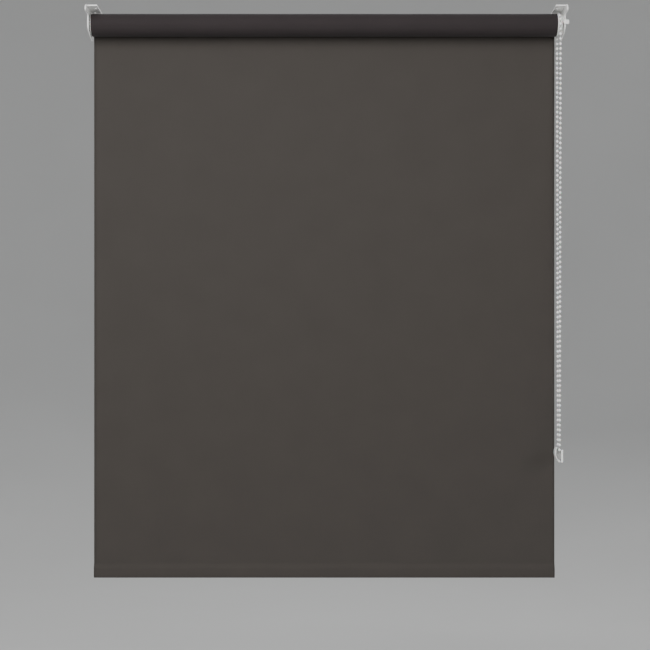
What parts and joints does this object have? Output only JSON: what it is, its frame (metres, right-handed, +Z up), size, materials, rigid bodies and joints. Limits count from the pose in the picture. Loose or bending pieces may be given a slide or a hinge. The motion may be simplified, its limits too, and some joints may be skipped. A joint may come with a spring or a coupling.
{
  "type": "roller blind",
  "caption": "Chain-operated roller blind: dark woven fabric off the back of a tube between white top-fixed brackets, ball chain at the right in a wall tensioner, hem with weight bar.",
  "frame": {"origin": "in the ceiling plane that the top flanges are fixed to, midway between the brackets' outer faces and straight above the roller's axis", "axes": "+Z up, +X along the roller towards the chain drive, +Y away from the room towards the window"},
  "size_m": [0.805, 0.071, 0.9592],
  "materials": {
    "painted_steel": "white powder coat, satin",
    "white_plastic": "moulded white plastic, satin",
    "chain_plastic": "moulded white balls on a polyester cord",
    "grey_plastic": "moulded grey acetal",
    "dark_plastic": "moulded dark brown plastic",
    "spring_steel": "bright drawn steel",
    "aluminium": "mill-finish aluminium extrusion",
    "fabric_face": "plain-weave coated polyester, dark taupe",
    "fabric_back": "back of the same cloth, darker and a little purple"
  },
  "bodies": {
    "mount": {"left_bracket": "painted_steel", "right_bracket": "painted_steel", "idle_bush": "white_plastic", "drive_core": "white_plastic", "core_clip": "spring_steel", "latch_pin": "spring_steel", "fabric_sheet": "fabric_face", "chain_front_strand": "chain_plastic", "chain_rear_strand": "chain_plastic", "chain_over_wheel": "chain_plastic", "chain_under_pulley": "chain_plastic", "tensioner_base": "white_plastic", "tensioner_cover": "white_plastic", "tensioner_cradle": "grey_plastic", "tensioner_axle": "spring_steel"},
    "roller": {"roller_tube": "aluminium", "fabric_spline": "grey_plastic", "fabric_roll": "fabric_back", "idle_end_plug": "white_plastic", "idle_spring_seat": "white_plastic", "idle_pin_spring": "spring_steel", "chain_wheel": "white_plastic", "tube_crown": "grey_plastic", "clutch_spring_inner": "spring_steel", "clutch_spring_outer": "spring_steel"},
    "idle_pin": {"idle_pin": "spring_steel"},
    "latch": {"release_latch": "white_plastic"},
    "hem": {"hem_pocket": "fabric_face", "bottom_bar": "aluminium", "bar_cap_left": "dark_plastic", "bar_cap_right": "dark_plastic"},
    "tension_pulley": {"tensioner_pulley": "grey_plastic"}
  },
  "joints": [
    {"name": "tube_spin", "type": "hinge", "parent": "mount", "child": "roller", "pos_m": [0, 0, -0.025], "axis": [1, 0, 0], "range_deg": [0, 2713.85]},
    {"name": "hem_lift", "type": "slide", "parent": "mount", "child": "hem", "axis": [0, 0, 1], "range_m": [0, 0.874], "deforming": ["fabric_sheet"]},
    {"name": "tension_pulley_spin", "type": "hinge", "parent": "mount", "child": "tension_pulley", "pos_m": [0, 0, -0.74497], "axis": [1, 0, 0], "range_deg": [0, 5880.1]},
    {"name": "idle_pin_slide", "type": "slide", "parent": "roller", "child": "idle_pin", "axis": [1, 0, 0], "range_m": [0, 0.0035], "stiffness_N_per_m": 800, "springref_m": -0.004, "deforming": ["idle_pin_spring"]},
    {"name": "latch_lift", "type": "hinge", "parent": "mount", "child": "latch", "pos_m": [0.3968, -0.0099, -0.014], "axis": [1, 0, 0], "range_deg": [-18, 0], "stiffness_Nm_per_rad": 0.05, "springref_deg": 17.19}
  ],
  "couplings": [
    {"joint": "hem_lift", "follows": "tube_spin", "m_per_rad": 0.01845},
    {"joint": "tension_pulley_spin", "follows": "tube_spin", "ratio": 2.1667}
  ]
}
